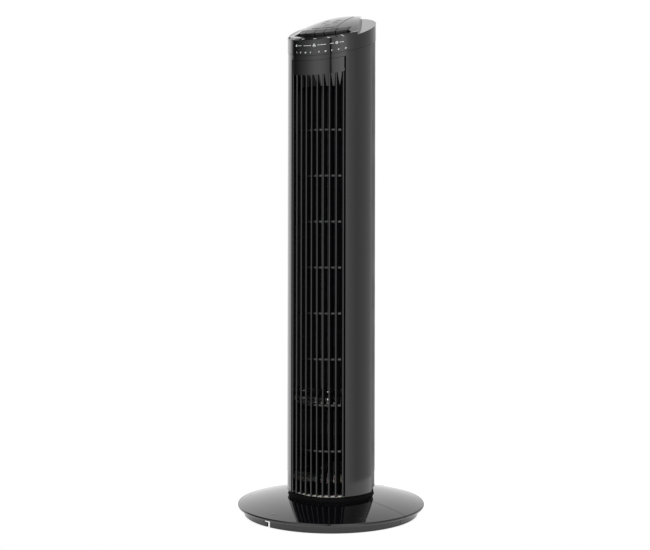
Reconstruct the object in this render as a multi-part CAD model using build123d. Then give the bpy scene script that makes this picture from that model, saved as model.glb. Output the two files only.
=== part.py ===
from build123d import *
import math
import os

# Tower fan: a round two-piece base, a swinging tower with a cross-flow impeller behind a finned grille, and a
# sloping control head with a docked remote control. Millimetres. +Z is up, the floor is Z = 0, the tower's
# front faces -Y, and the origin is under the tower's axis. Headings are degrees from straight ahead (-Y),
# positive towards +X.

os.makedirs("parts", exist_ok=True)

# ---------------------------------------------------------------- driving dimensions
# tower
body_r = 66.0                 # outside radius of the side panels
wall = 2.2                    # moulded shell wall
tower_z = 36.7                # lower edge of the tower
seam_z = 699.8                # seam between tower and head, on the axis
slant = 0.37                  # rise per millimetre towards the back of every sloping seam
panel_edge = 40.8             # heading where the side panels start
panel_end = 88.0              # heading where the side panels end
strip_h = 7.0                 # strip that joins the panels over the grille
# outlet grille
plate_h = 21.3                # plain plate above the fins
plate_edge = 38.6             # heading of the plate's sides
fin_count = 10
fin_pitch = 8.83
fin_t = 2.3
fin_depth = 14.0
rib_pitch = 66.6
rib_first_z = 101.7
rib_count = 8
rib_t = 2.5
rib_setback = 5.5             # from the fins' front edges to the ribs
rib_depth = 4.5
roof_drop = 67.8              # from the seam to the lower edge of the sloped duct roof
roof_setback = 10.0           # how far behind the fins' front edges that lower edge lies
# rear shell and intake
rear_step = 0.5               # rear shell inside the panels' radius
rear_z = 41.0
intake_z = 150.0              # lowest slot
slot_w = 4.2
slot_h = 60.0
slot_step = 6.6               # degrees between slots
slot_columns = 15
slot_rows = 7
# base
base_r = 140.0
rim_z = 14.2                  # middle of the rim's edge
rim_t = 4.6
rim_reach = 10.0              # rim beyond the skirt
skirt_z = 1.0                 # lower edge of the skirt, just off the floor
base_wall = 2.5
base_split = 0.8              # groove between the halves
collar_r = 64.6               # hole in the base plate for the neck
collar_z = 29.0               # top of the base plate at that hole
base_turn = -17.8             # the base is turned this much under the tower at rest
notch_offset = -2.4           # heading of the cord notch from the base's own front
notch_w = 5.8
notch_h = 9.4
hook_w = 7.4                  # sideways leg at the top of the notch, which holds the cord in
hook_h = 2.6
foot_r = 6.5
foot_count = 6
foot_inset = 12.0             # feet inside the skirt
boss_r = 5.0
base_screw_ring_r = 48.0
base_screw_headings = (45, 135, 225, 315)
base_screw_r = 1.9
base_screw_head_r = 3.6
base_screw_head_h = 2.2
# swivel
neck_r = 63.6
neck_top_z = 34.2
ledge_z = 20.5                # ledge that the swivel plate sits on
pivot_r = 14.0
pivot_bore_r = 9.5
glide_in_r = 50.0
glide_w = 6.0
hub_wall = 7.0                # of the turntable's hub round the pivot
hub_h = 11.0
foot_t = 3.8
upstand_h = 14.0
# swing drive
gear_module = 1.2
gear_teeth = 40
pinion_teeth = 12
gear_t = 5.5
backlash = 0.35
swing_motor_r = 25.0
swing_motor_h = 18.0
drive_heading = 180.0
gear_screw_r = 1.25
# screws inside the tower
post_r = 4.0
pilot_r = 1.4                 # screw core, and the hole that it cuts its thread in
screw_hole_r = 1.5            # clearance hole in what the screw holds
pan_r = 2.6                   # screw head
screw_x = 57.5                # shell screws, each side of the middle
screw_zs = (70, 270, 470, 650)
# impeller and motor
impeller_y = 8.0              # impeller axis behind the tower axis
impeller_r = 40.0
blade_in_r = 31.5
blade_count = 26
blade_t = 1.2
disc_t = 2.0
disc_first_z = 189.0
drum_gap = 7.0                # under the upper duct plate
disc_count = 7
shaft_r = 4.0
motor_r = 38.0
motor_z = 100.0
bell_h = 21.0
core_h = 18.0
rotor_r = 21.0
bracket_z = 167.0
bracket_t = 2.0
lower_plate_z = 178.0
upper_plate_rise = 11.0       # above the duct roof's lower edge
plate_t = 2.5
stub_r = 3.0
duct_gap = 6.0                # between the impeller and the scroll
bush_r = 7.0
rubber_r = 11.0
cup_h = 10.0
damper_r = 5.0
damper_ring_r = 24.0
bearing_r = 8.0
bracket_half = 28.0           # bracket screws, from the impeller's axis
# boards and electrical parts
stand_top_z = 52.0
board_t = 1.6
display_y = -53.0
led_count = 9
led_pitch = 6.0
# head
head_step = 0.4               # head outside the panels' radius
head_wall = 3.0
deck_h = 25.0                 # deck edge above the seam, on the axis
crown_h = 12.2                # crowned deck above its edge, on the axis
crown_slope = 0.4265          # rise of the crown on the axis
crown_r = 344.0               # crown radius, front to back
crown_side_r = 165.0          # crown radius, side to side
scoop_drop = 1.7              # lowered sides below the deck edge, on the axis
scoop_slope = 0.447
scoop_front = (55.0, -36.0)
scoop_back = (24.0, 61.0)
window_edge = 52.5
window_t = 1.5
window_drop = 4.5             # below the deck edge
lip_bevel = 2.4               # on the front edge of the lip before the keys
dock_wall = 1.8
# keys
key_count = 5
key_pitch = 15.7
key_outer_r = 52.0
key_depth = 15.0
key_gap = 0.9
key_proud = 0.3
key_travel = 1.0
key_bottom = -3.7             # of a stem, from the deck-edge plane
# remote control
remote_w = 40.0
remote_front = -31.0          # along the deck, from the axis
remote_back = 49.0
remote_floor = 2.4            # underside above the deck-edge plane
remote_split = 6.0            # joint between its case halves
remote_corner = 3.0
remote_bow_r = 60.0
remote_key_r = 4.4
remote_key_x = 9.0            # columns beside the middle
remote_key_pitch = 13.5
remote_key_first = 13.0       # from the front edge to the single key
remote_key_travel = 0.8
remote_key_proud = 0.15
remote_proud = 0.4            # remote above the crowned deck
# clearances
joint_gap = 0.4               # between mouldings that meet
swing_gap = 0.3               # between faces that turn past each other
run_fit = 0.05                # radial, shaft in a plain bearing
key_fit = 0.45                # round the deck keys and the remote
pad_fit = 0.08                # radial, round keys guided by the remote's case
hair = 0.1                    # between fixed inner pieces

# ---------------------------------------------------------------- worked out from those
FAR = 400.0
rear_r = body_r - rear_step
head_r = body_r + head_step
skirt_r = base_r - rim_reach
foot_ring_r = skirt_r - foot_inset
hub_r = pivot_r + hub_wall
deck_z = seam_z + deck_h
crown_z = deck_z + crown_h
scoop_z = deck_z - scoop_drop
roof_z = seam_z - roof_drop
upper_plate_z = roof_z + upper_plate_rise
disc_pitch = (upper_plate_z - drum_gap - disc_first_z) / (disc_count - 1)
rear_start = panel_end + math.degrees(joint_gap / body_r) + 0.35
shell_in_r = body_r - wall
fin_in_r = body_r - fin_depth
plate_drop = (collar_z - rim_z - rim_t / 2) / (base_r - rim_t / 2 - collar_r)
hub_top_z = tower_z + hub_h
gear_z = hub_top_z + swing_gap
drive_r = gear_module * (gear_teeth + pinion_teeth) / 2
motor_face_z = gear_z + gear_t + 3.0
post_in = swing_motor_r + post_r
duct_r = impeller_r + duct_gap
duct_z0 = lower_plate_z + plate_t
duct_z1 = upper_plate_z
core_z = motor_z + bell_h
bell_top_z = core_z + core_h + bell_h
head_in_r = head_r - head_wall
dock_floor = remote_floor - joint_gap
tact_top = key_bottom - key_travel - 0.3
board_w = tact_top - 4.3 - board_t


# ---------------------------------------------------------------- shared shapes
def rod(r, z0, z1, x=0.0, y=0.0):
    return Pos(x, y, (z0 + z1) / 2) * Cylinder(r, z1 - z0)


def tube(r_out, r_in, z0, z1, x=0.0, y=0.0):
    return rod(r_out, z0, z1, x, y) - rod(r_in, z0 - 1, z1 + 1, x, y)


def block(x0, x1, y0, y1, z0, z1):
    return Pos((x0 + x1) / 2, (y0 + y1) / 2, (z0 + z1) / 2) * Box(x1 - x0, y1 - y0, z1 - z0)


def on_circle(r, heading):
    a = math.radians(heading - 90)
    return r * math.cos(a), r * math.sin(a)


def sector(r_out, r_in, z0, z1, start, end):
    """A ring sector between two headings."""
    edges = [
        CenterArc((0, 0), r_out, start - 90, end - start),
        CenterArc((0, 0), r_in, start - 90, end - start),
        Line(on_circle(r_in, start), on_circle(r_out, start)),
        Line(on_circle(r_in, end), on_circle(r_out, end)),
    ]
    return Pos(0, 0, z0) * extrude(make_face(edges), amount=z1 - z0)


def below(z, slope):
    """Everything under a plane that rises towards the back."""
    plane = Plane(origin=(0, 0, z), x_dir=(1, 0, 0), z_dir=(0, -slope, 1))
    return plane * Pos(0, 0, -2 * FAR) * Box(4 * FAR, 4 * FAR, 4 * FAR)


def above(z, slope):
    plane = Plane(origin=(0, 0, z), x_dir=(1, 0, 0), z_dir=(0, -slope, 1))
    return plane * Pos(0, 0, 2 * FAR) * Box(4 * FAR, 4 * FAR, 4 * FAR)


deck = Plane(origin=(0, 0, deck_z), x_dir=(1, 0, 0), z_dir=(0, -slant, 1))


def crown(offset=0.0):
    """The solid under the crowned deck surface, moved out by offset."""
    half = 95.0
    lean = math.atan(crown_slope)
    centre = (0, crown_r * math.sin(lean), crown_z - crown_r * math.cos(lean))
    side = crown_side_r + offset
    drop = side - math.sqrt(side**2 - half**2)
    top = crown_r + offset
    profile = make_face([
        ThreePointArc((-half, top - drop), (0, top), (half, top - drop)),
        Line((half, top - drop), (half, 0)),
        Line((half, 0), (-half, 0)),
        Line((-half, 0), (-half, top - drop)),
    ])
    plane = Plane(origin=centre, x_dir=(1, 0, 0), z_dir=(0, -1, 0))
    return revolve(plane * profile, axis=Axis(centre, (1, 0, 0)))


def involute_gear(teeth, module, thickness, slack):
    """A spur gear with its teeth thinned by half the backlash, one tooth pointing along +X."""
    pitch_r = module * teeth / 2
    base_circle = pitch_r * math.cos(math.radians(20))
    root_r = pitch_r - 1.25 * module
    tip_r = pitch_r + 0.9 * module
    start_r = max(base_circle, root_r)

    def roll(r):
        a = math.acos(min(1.0, base_circle / r))
        return math.tan(a) - a

    half = (math.pi * module / 2 - slack / 2) / pitch_r / 2 + roll(pitch_r)
    flank = [start_r + (tip_r - start_r) * i / 4 for i in range(5)]
    right = [(r * math.cos(roll(r) - half), r * math.sin(roll(r) - half)) for r in flank]
    left = [(x, -y) for x, y in reversed(right)]
    inner = root_r - module
    foot = math.atan2(right[0][1], right[0][0])
    corners = [(inner * math.cos(foot), inner * math.sin(foot)), *right, *left]
    corners.append((inner * math.cos(-foot), inner * math.sin(-foot)))
    tooth = extrude(make_face(Polyline(*corners, close=True)), amount=thickness)
    blank = Pos(0, 0, thickness / 2) * Cylinder(root_r, thickness)
    return blank + [Rot(0, 0, 360 * i / teeth) * tooth for i in range(teeth)]


def save(name, shape):
    export_step(shape, f"parts/{name}.step")


def group(solids):
    return Compound(children=list(solids))


# ---------------------------------------------------------------- base
def base_half(back):
    """Half of the base: domed plate, rolled rim, skirt with a cord notch, collar and ledge."""
    rim_top = rim_z + rim_t / 2
    rim_low = rim_z - rim_t / 2
    edge_r = base_r - rim_t / 2
    inside_r = skirt_r - base_wall
    sag = 1.6
    mid_r = (collar_r + edge_r) / 2
    mid_z = (collar_z + rim_top) / 2 + sag
    ledge_in = pivot_r + 8
    outline = make_face([
        ThreePointArc((collar_r, collar_z), (mid_r, mid_z), (edge_r, rim_top)),
        ThreePointArc((edge_r, rim_top), (base_r, rim_z), (edge_r, rim_low)),
        Line((edge_r, rim_low), (skirt_r, rim_low)),
        Line((skirt_r, rim_low), (skirt_r, skirt_z)),
        Line((skirt_r, skirt_z), (inside_r, skirt_z)),
        Line((inside_r, skirt_z), (inside_r, rim_low)),
        ThreePointArc(
            (inside_r, rim_low),
            (mid_r, mid_z - base_wall),
            (collar_r + base_wall, collar_z - base_wall),
        ),
        Line((collar_r + base_wall, collar_z - base_wall), (collar_r + base_wall, ledge_z - base_wall)),
        Line((collar_r + base_wall, ledge_z - base_wall), (ledge_in, ledge_z - base_wall)),
        Line((ledge_in, ledge_z - base_wall), (ledge_in, ledge_z)),
        Line((ledge_in, ledge_z), (collar_r, ledge_z)),
        Line((collar_r, ledge_z), (collar_r, collar_z)),
    ])
    ring = revolve(Plane.XZ * outline, axis=Axis.Z)
    inside_y = -skirt_r + 2 * base_wall
    upright = block(-notch_w / 2, notch_w / 2, -base_r, inside_y, 0, notch_h)
    hook = block(-notch_w / 2 - hook_w, 0, -base_r, inside_y, notch_h - hook_h, notch_h)
    notch = Rot(0, 0, notch_offset) * (upright + hook)
    half = ring - block(-FAR, FAR, -base_split / 2, FAR, -1, FAR) - notch
    posts = []
    for i in range(foot_count // 2):
        x, y = on_circle(foot_ring_r, -60 + 60 * i)
        top = collar_z - (foot_ring_r - foot_r - collar_r) * plate_drop
        post = rod(foot_r + 1.5, skirt_z, top - base_wall / 2, x, y)
        posts.append(post & rod(inside_r + 1, 0, top))
    half = half + posts
    for i in range(foot_count // 2):
        x, y = on_circle(foot_ring_r, -60 + 60 * i)
        half -= rod(foot_r + hair, 0, skirt_z + 1.2, x, y)
    for heading in (-45, 45):
        x, y = on_circle(base_screw_ring_r, heading)
        half -= rod(base_screw_r + hair, 0, FAR, x, y)
    return Rot(0, 0, base_turn + (180 if back else 0)) * half


def rubber_feet():
    feet = []
    for i in range(foot_count):
        x, y = on_circle(foot_ring_r, base_turn - 60 + 60 * i)
        feet.append(fillet(rod(foot_r, 0, skirt_z + 1.2, x, y).edges().group_by(Axis.Z)[0], 0.5))
    return group(feet)


def base_screws():
    solids = []
    for heading in base_screw_headings:
        x, y = on_circle(base_screw_ring_r, heading + base_turn)
        head_top = ledge_z - base_wall
        head = rod(base_screw_head_r, head_top - base_screw_head_h, head_top, x, y)
        cross = block(x - 2, x + 2, y - 0.4, y + 0.4, head_top - base_screw_head_h - 1, head_top - 1.2)
        solids.append(head - cross + rod(base_screw_r, head_top - 0.5, neck_top_z - 5, x, y))
    return group(solids)


def swivel_plate():
    """Fixed neck that screws to both base halves and carries the hollow pivot."""
    top_t = 3.0
    body = tube(neck_r, neck_r - base_wall, ledge_z, neck_top_z)
    body += tube(neck_r, pivot_bore_r, neck_top_z - top_t, neck_top_z)
    body += tube(pivot_r + 3, pivot_bore_r, ledge_z, neck_top_z)
    body += tube(pivot_r, pivot_bore_r, neck_top_z - 1, gear_z)
    for heading in base_screw_headings:
        x, y = on_circle(base_screw_ring_r, heading + base_turn)
        body += rod(boss_r, ledge_z, neck_top_z - 1, x, y)
        body -= rod(base_screw_r, ledge_z - 1, neck_top_z - 5, x, y)
    body -= tube(glide_in_r + glide_w + hair, glide_in_r - hair, neck_top_z - 1, neck_top_z + 1)
    for x, y in gear_screw_points():
        body -= rod(gear_screw_r, gear_z - 9, gear_z + 1, x, y)
    return body


def gear_screw_points():
    return [on_circle((pivot_r + pivot_bore_r) / 2, h) for h in (30, 150, 270)]


def glide_ring():
    return tube(glide_in_r + glide_w, glide_in_r, neck_top_z - 1, tower_z - swing_gap)


def swing_gear():
    """Fixed gear on top of the pivot. It also keeps the tower on."""
    gear = Pos(0, 0, gear_z) * involute_gear(gear_teeth, gear_module, gear_t, backlash)
    gear -= rod(pivot_bore_r, gear_z - 1, gear_z + gear_t + 1)
    for x, y in gear_screw_points():
        gear -= rod(gear_screw_r + hair, gear_z - 1, gear_z + gear_t + 1, x, y)
    return gear


def gear_screws():
    top = gear_z + gear_t
    return group([
        rod(gear_screw_r, gear_z - 8, top + 0.1, x, y) + rod(2.2, top, top + 1.6, x, y)
        for x, y in gear_screw_points()
    ])


def cord_gland():
    """Bush in the lower end of the pivot where the mains lead would leave."""
    bush = tube(pivot_bore_r - hair, 3.8, ledge_z - 4, ledge_z + 9)
    return bush + tube(pivot_r + 2, 3.8, ledge_z - 4, ledge_z - 1)


# ---------------------------------------------------------------- tower foot and swing drive
def drive_posts():
    x, y = on_circle(drive_r, drive_heading)
    return [(x - post_in, y), (x + post_in, y)]


def tower_foot():
    """Turntable floor of the tower, with its hub on the pivot."""
    edge_r = rear_r - wall - joint_gap
    cut_r = fin_in_r - joint_gap
    comb_side = fin_pitch * (fin_count - 1) / 2 + fin_t / 2 + joint_gap
    cut_edge = max(panel_edge, math.degrees(math.asin(comb_side / cut_r)))
    floor = tube(edge_r, pivot_r + run_fit, tower_z, tower_z + foot_t)
    floor -= sector(edge_r + 1, cut_r, tower_z - 1, tower_z + foot_t + 1, -cut_edge, cut_edge)
    hub = tube(hub_r, pivot_r + run_fit, tower_z, hub_top_z)
    upstand = sector(edge_r, edge_r - wall, tower_z, tower_z + upstand_h, cut_edge, 360 - cut_edge)
    body = floor + hub + upstand
    for x, y in drive_posts():
        body += rod(post_r, tower_z + foot_t - 1, motor_face_z, x, y)
        body -= rod(pilot_r, motor_face_z - 8, motor_face_z + 1, x, y)
    for x, y in stand_points():
        body += rod(post_r, tower_z + foot_t - 1, stand_top_z, x, y)
        body -= rod(pilot_r, stand_top_z - 8, stand_top_z + 1, x, y)
    return body


def swing_motor():
    x, y = on_circle(drive_r, drive_heading)
    z0 = motor_face_z + 1.0
    can = rod(swing_motor_r, z0, z0 + swing_motor_h, x, y)
    can = fillet(can.edges().group_by(Axis.Z)[-1], 1.5)
    can += block(x - post_in - post_r, x + post_in + post_r, y - post_r, y + post_r, z0 - 1, z0)
    can += rod(5, motor_face_z - 0.6, z0, x, y)
    for px, py in drive_posts():
        can -= rod(screw_hole_r, z0 - 2, z0 + 1, px, py)
    return can


def swing_motor_screws():
    top = motor_face_z + 1.0
    return [
        rod(pilot_r, top - 7, top + 0.1, x, y) + rod(2.8, top, top + 1.8, x, y)
        for x, y in drive_posts()
    ]


def swing_pinion():
    """Pinion on the swing motor's shaft, turned so that a gap meets the fixed gear's tooth."""
    wheel = involute_gear(pinion_teeth, gear_module, gear_t, backlash)
    x, y = on_circle(drive_r, drive_heading)
    to_centre = drive_heading - 90 + 180
    tooth_phase = (drive_heading - 90) % (360 / gear_teeth) * gear_teeth / pinion_teeth
    turn = to_centre + 180 / pinion_teeth + tooth_phase
    hub = Pos(0, 0, gear_t) * rod(3.0, 0, motor_face_z - gear_z - gear_t - 0.9)
    return Pos(x, y, gear_z) * Rot(0, 0, turn) * (wheel + hub)


# ---------------------------------------------------------------- shells
def front_shell():
    """Both side panels and the strip above the grille, one moulding."""
    opening = sector(body_r + 5, shell_in_r - 5, 0, FAR * 2, -panel_edge, panel_edge)
    opening &= below(seam_z - strip_h, slant)
    shell = sector(body_r, shell_in_r, tower_z, FAR * 2, -panel_end, panel_end)
    shell = shell & below(seam_z - joint_gap, slant)
    shell -= opening
    bosses = []
    for z in screw_zs:
        for s in (-1, 1):
            boss = Pos(s * screw_x, -8, z) * Rot(90, 0, 0) * Cylinder(3.6, 12)
            web = Pos(s * (screw_x + 4.0), -8, z) * Box(7, 12, 2.4)
            bosses.append((boss + web) & rod(body_r - wall / 2, 0, FAR * 2))
    shell += bosses
    for z in screw_zs:
        for s in (-1, 1):
            shell -= Pos(s * screw_x, -7, z) * Rot(90, 0, 0) * Cylinder(pilot_r, 12)
    return shell


def rear_shell():
    """Rear half of the tower with the slotted air intake."""
    shell = sector(rear_r, rear_r - wall, rear_z, FAR * 2, rear_start, 360 - rear_start)
    shell = shell & below(seam_z - joint_gap, slant)
    slots = []
    for row in range(slot_rows):
        z = intake_z + row * rib_pitch
        for column in range(slot_columns):
            heading = 180 + (column - (slot_columns - 1) / 2) * slot_step
            x, y = on_circle(rear_r, heading)
            slots.append(Pos(x, y, z + slot_h / 2) * Rot(0, 0, heading) * Box(slot_w, 12, slot_h))
    shell -= slots
    sleeves = []
    for z in screw_zs:
        for s in (-1, 1):
            sleeve = Pos(s * screw_x, 16.5, z) * Rot(90, 0, 0) * Cylinder(4.2, 35)
            sleeves.append(sleeve & rod(rear_r - wall / 2, 0, FAR * 2))
    shell += sleeves
    for z in screw_zs:
        for s in (-1, 1):
            shell -= Pos(s * screw_x, 16, z) * Rot(90, 0, 0) * Cylinder(1.7, 60)
            shell -= Pos(s * screw_x, 25, z) * Rot(90, 0, 0) * Cylinder(3.1, 38)
    return shell


def shell_screws():
    solids = []
    for z in screw_zs:
        for s in (-1, 1):
            shank = Pos(s * screw_x, -1.95, z) * Rot(90, 0, 0) * Cylinder(pilot_r, 16)
            head = Pos(s * screw_x, 7.0, z) * Rot(90, 0, 0) * Cylinder(2.8, 2)
            solids.append(shank + head)
    return group(solids)


def front_grille():
    """Plate, fins, cross ribs and sloped duct roof in one moulding."""
    fin_top = seam_z - strip_h - plate_h
    plate = sector(body_r, body_r - 2.5, fin_top - 60, FAR * 2, -plate_edge, plate_edge)
    plate = plate & below(seam_z - strip_h - joint_gap, slant) & above(fin_top, slant)
    bars = []
    for i in range(fin_count):
        x = (i - (fin_count - 1) / 2) * fin_pitch
        nose_y = -math.sqrt((body_r - fin_t / 2) ** 2 - x**2)
        bar = rod(fin_t / 2, tower_z, FAR * 2, x, nose_y)
        bars.append(bar + block(x - fin_t / 2, x + fin_t / 2, nose_y, -body_r / 3, tower_z, FAR * 2))
    comb = tube(body_r, body_r - fin_depth, tower_z, FAR * 2) & below(fin_top, slant)
    tail = tube(body_r - 2, body_r - fin_depth, fin_top - 30, FAR * 2) & below(fin_top + 4, slant)
    fins = [(comb + tail) & bar for bar in bars]
    reach = plate_edge - 2.6
    rib_r = body_r - rib_setback
    ribs = []
    for i in range(rib_count):
        z = rib_first_z + i * rib_pitch
        ribs.append(sector(rib_r, rib_r - rib_depth, z - rib_t / 2, z + rib_t / 2, -reach, reach))
    rise = 40.0
    lower_r = body_r - roof_setback
    upper_r = lower_r + rise * (roof_setback - 1.5) / 22.0
    outer = Pos(0, 0, roof_z + rise / 2) * Cone(lower_r, upper_r, rise)
    inner = Pos(0, 0, roof_z + rise / 2) * Cone(lower_r - wall, upper_r - wall, rise)
    roof = (outer - inner) & sector(body_r, 1, roof_z, roof_z + rise, -reach, reach)
    roof = roof & below(fin_top + 2, slant)
    return plate + [*fins, *ribs, roof]


# ---------------------------------------------------------------- duct and impeller
def scroll_wall():
    """Curved wall that turns the air from the intake to the outlet, on the left."""
    inner = CenterArc((0, impeller_y), duct_r, 100, 120)
    outer = CenterArc((0, impeller_y), duct_r + wall, 100, 120)
    face = make_face([inner, outer, Line(inner @ 0, outer @ 0), Line(inner @ 1, outer @ 1)])
    arc = Pos(0, 0, duct_z0) * extrude(face, amount=duct_z1 - duct_z0)
    a = inner @ 1
    b = outer @ 1
    edge_x, edge_y = on_circle(fin_in_r - wall - 1.5, -plate_edge - 6)
    run = make_face(Polyline((a.X, a.Y), (b.X, b.Y), (edge_x - wall, edge_y), (edge_x, edge_y), close=True))
    return arc + Pos(0, 0, duct_z0) * extrude(run, amount=duct_z1 - duct_z0)


def tongue_wall():
    """Straight wall with a rolled edge next to the impeller, on the right."""
    tip_x, tip_y = on_circle(duct_r - 2, 62)
    tip_y += impeller_y
    edge_x, edge_y = on_circle(fin_in_r - wall - 1.5, plate_edge + 6)
    wall_face = make_face(Polyline(
        (tip_x, tip_y), (tip_x + wall, tip_y), (edge_x + wall, edge_y), (edge_x, edge_y), close=True
    ))
    roll = Pos(tip_x + wall / 2, tip_y, (duct_z0 + duct_z1) / 2) * Cylinder(wall, duct_z1 - duct_z0)
    return Pos(0, 0, duct_z0) * extrude(wall_face, amount=duct_z1 - duct_z0) + roll


def duct_plate(z, hole_r):
    """End plate of the duct, clear of the screw sleeves."""
    disc = rod(body_r - fin_depth - joint_gap, z, z + plate_t)
    wing = rod(shell_in_r - joint_gap - 1, z, z + plate_t) & block(-48, 48, -6, FAR, 0, FAR * 2)
    return disc + wing - rod(hole_r, z - 1, z + plate_t + 1, 0, impeller_y)


def lower_duct_plate():
    plate = duct_plate(lower_plate_z, 16.0)
    for x, y in bracket_points():
        plate -= rod(screw_hole_r, lower_plate_z - 1, lower_plate_z + plate_t + 1, x, y)
    return plate


def upper_duct_plate():
    """Upper end plate with the cup for the top bearing."""
    plate = duct_plate(upper_plate_z, rubber_r)
    cup = tube(rubber_r + 2.2, rubber_r, upper_plate_z, upper_plate_z + cup_h, 0, impeller_y)
    lid = tube(rubber_r + 2.2, stub_r + 2, upper_plate_z + cup_h - 2, upper_plate_z + cup_h, 0, impeller_y)
    return plate + cup + lid


def bearing_rubber():
    z0 = upper_plate_z + 0.2
    return tube(rubber_r - hair, bush_r + hair, z0, upper_plate_z + cup_h - 2.2, 0, impeller_y)


def bearing_bush():
    z0 = upper_plate_z + 0.2
    return tube(bush_r, stub_r + run_fit, z0, upper_plate_z + cup_h - 2.2, 0, impeller_y)


def impeller():
    """Cross-flow drum: rings of thin curved blades between discs, with a hub at each end."""
    span = disc_pitch * (disc_count - 1)
    z1 = disc_first_z + span
    blades = []
    lean = 24.0
    for i in range(blade_count):
        a = math.radians(360 * i / blade_count)
        b = a + math.radians(lean)
        m = (a + b) / 2 + math.radians(3)
        mid_r = (blade_in_r + impeller_r) / 2
        path = ThreePointArc(
            (blade_in_r * math.cos(b), blade_in_r * math.sin(b)),
            (mid_r * math.cos(m), mid_r * math.sin(m)),
            ((impeller_r - 0.4) * math.cos(a), (impeller_r - 0.4) * math.sin(a)),
        )
        blades.append(Pos(0, 0, disc_first_z) * extrude(trace(path, blade_t), amount=span))
    discs = []
    for i in range(disc_count):
        z = disc_first_z + i * disc_pitch
        inner = shaft_r if i == 0 else (stub_r if i == disc_count - 1 else blade_in_r - 4)
        discs.append(tube(impeller_r, inner, z - disc_t / 2, z + disc_t / 2))
    hub_low = tube(10, shaft_r, disc_first_z - disc_t / 2, disc_first_z + 16)
    hub_high = tube(8, stub_r, z1 - 14, z1 + disc_t / 2)
    drum = discs[0] + discs[1:] + blades + [hub_low, hub_high]
    drum -= Pos(0, 0, disc_first_z + 9) * Rot(90, 0, 0) * Pos(0, 0, 8) * Cylinder(1.5, 12)
    return Pos(0, impeller_y, 0) * drum


def impeller_stub():
    z1 = disc_first_z + disc_pitch * (disc_count - 1)
    return rod(stub_r, z1 - 12, upper_plate_z + cup_h + 1, 0, impeller_y)


def hub_set_screw():
    screw = Pos(0, 0, disc_first_z + 9) * Rot(90, 0, 0) * Pos(0, 0, 7.1) * Cylinder(1.5, 6)
    return Pos(0, impeller_y, 0) * screw


# ---------------------------------------------------------------- main motor
def bracket_points():
    sides = (-bracket_half, bracket_half)
    return [(x, impeller_y + y) for x in sides for y in sides]


def damper_points():
    turns = [math.radians(d) for d in (90, 210, 330)]
    return [(damper_ring_r * math.cos(a), impeller_y + damper_ring_r * math.sin(a)) for a in turns]


def bell(z0, z1, closed_low):
    """End housing: a drilled cup that carries a bearing."""
    cup = rod(motor_r, z0, z1, 0, impeller_y)
    cup = fillet(cup.edges().group_by(Axis.Z)[0 if closed_low else -1], 4)
    low, high = (z0 + 2.5, z1 + 1) if closed_low else (z0 - 1, z1 - 2.5)
    cup -= rod(motor_r - 2.5, low, high, 0, impeller_y)
    seat = (z0, z0 + 8) if closed_low else (z1 - 8, z1)
    cup += rod(bearing_r + 2, seat[0], seat[1], 0, impeller_y)
    cup -= rod(bearing_r, seat[0] - 1, seat[1] + 1, 0, impeller_y)
    for i in range(8):
        a = math.radians(45 * i + 22.5)
        vent = (24 * math.cos(a), impeller_y + 24 * math.sin(a))
        cup -= rod(3.2, z0 - 1, z0 + 3, *vent) if closed_low else rod(2.0, z1 - 3, z1 + 1, *vent)
    return cup


def stator_core():
    """Laminated ring with four poles round the rotor."""
    ring = tube(motor_r + 1.5, motor_r - 7, core_z, core_z + core_h, 0, impeller_y)
    poles = [
        Pos(0, impeller_y, core_z + core_h / 2)
        * Rot(0, 0, 90 * i)
        * Pos(motor_r - 11, 0, 0)
        * Box(12, 12, core_h)
        for i in range(4)
    ]
    core = ring + poles
    return core - rod(rotor_r + 0.6, core_z - 1, core_z + core_h + 1, 0, impeller_y)


def stator_coils():
    """One winding round each pole."""
    coils = []
    for i in range(4):
        outer = Box(6.5, 18, core_h + 8)
        coil = outer - Box(8, 12.4, core_h + 0.4)
        coils.append(Pos(0, impeller_y, core_z + core_h / 2) * Rot(0, 0, 90 * i) * Pos(26.2, 0, 0) * coil)
    return group(coils)


def rotor():
    return tube(rotor_r, shaft_r, core_z - 1, core_z + core_h + 1, 0, impeller_y)


def motor_shaft():
    return rod(shaft_r, motor_z - 2, disc_first_z + 14, 0, impeller_y)


def motor_bearings():
    seats = ((motor_z + 0.2, motor_z + 7.8), (bell_top_z - 7.8, bell_top_z - 0.2))
    return group([tube(bearing_r - hair, shaft_r + run_fit, a, b, 0, impeller_y) for a, b in seats])


def motor_bracket():
    """Steel plate that hangs the motor under the duct."""
    plate = rod(motor_r + 6, bracket_z, bracket_z + bracket_t, 0, impeller_y)
    plate = plate & block(-46, 46, -33, FAR, 0, FAR)
    plate -= rod(15, bracket_z - 1, bracket_z + 3, 0, impeller_y)
    for x, y in bracket_points():
        plate += rod(3.5, bracket_z + bracket_t - 0.2, lower_plate_z, x, y)
        plate -= rod(1.3, lower_plate_z - 7, lower_plate_z + 1, x, y)
    return plate


def bracket_screws():
    top = lower_plate_z + plate_t
    return [
        rod(1.3, top - 7, top + 0.1, x, y) + rod(pan_r, top, top + 1.6, x, y) for x, y in bracket_points()
    ]


def motor_dampers():
    return group([tube(damper_r, 1.6, bell_top_z, bracket_z, x, y) for x, y in damper_points()])


# ---------------------------------------------------------------- power electronics
def stand_points():
    return [(-40.0, -22.0), (-40.0, 22.0), (42.0, -22.0), (42.0, 10.0)]


def power_board():
    x0, x1, y0, y1 = 28, 48, -30, 14
    board = block(x0, x1, y0, y1, stand_top_z, stand_top_z + board_t)
    for x, y in stand_points()[2:]:
        board -= rod(1.6, stand_top_z - 1, stand_top_z + 3, x, y)
    return board


def power_parts():
    """Transformer, relay, terminal block and smoothing capacitor."""
    z = stand_top_z + board_t
    transformer = block(29, 47, -16, 2, z, z + 20)
    relay = block(29, 38, 3.5, 13, z, z + 15)
    terminals = block(29, 38, -29, -18, z, z + 10)
    can = rod(2.8, z, z + 14, 44.8, -27.0)
    return group([transformer, relay, terminals, can])


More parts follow.
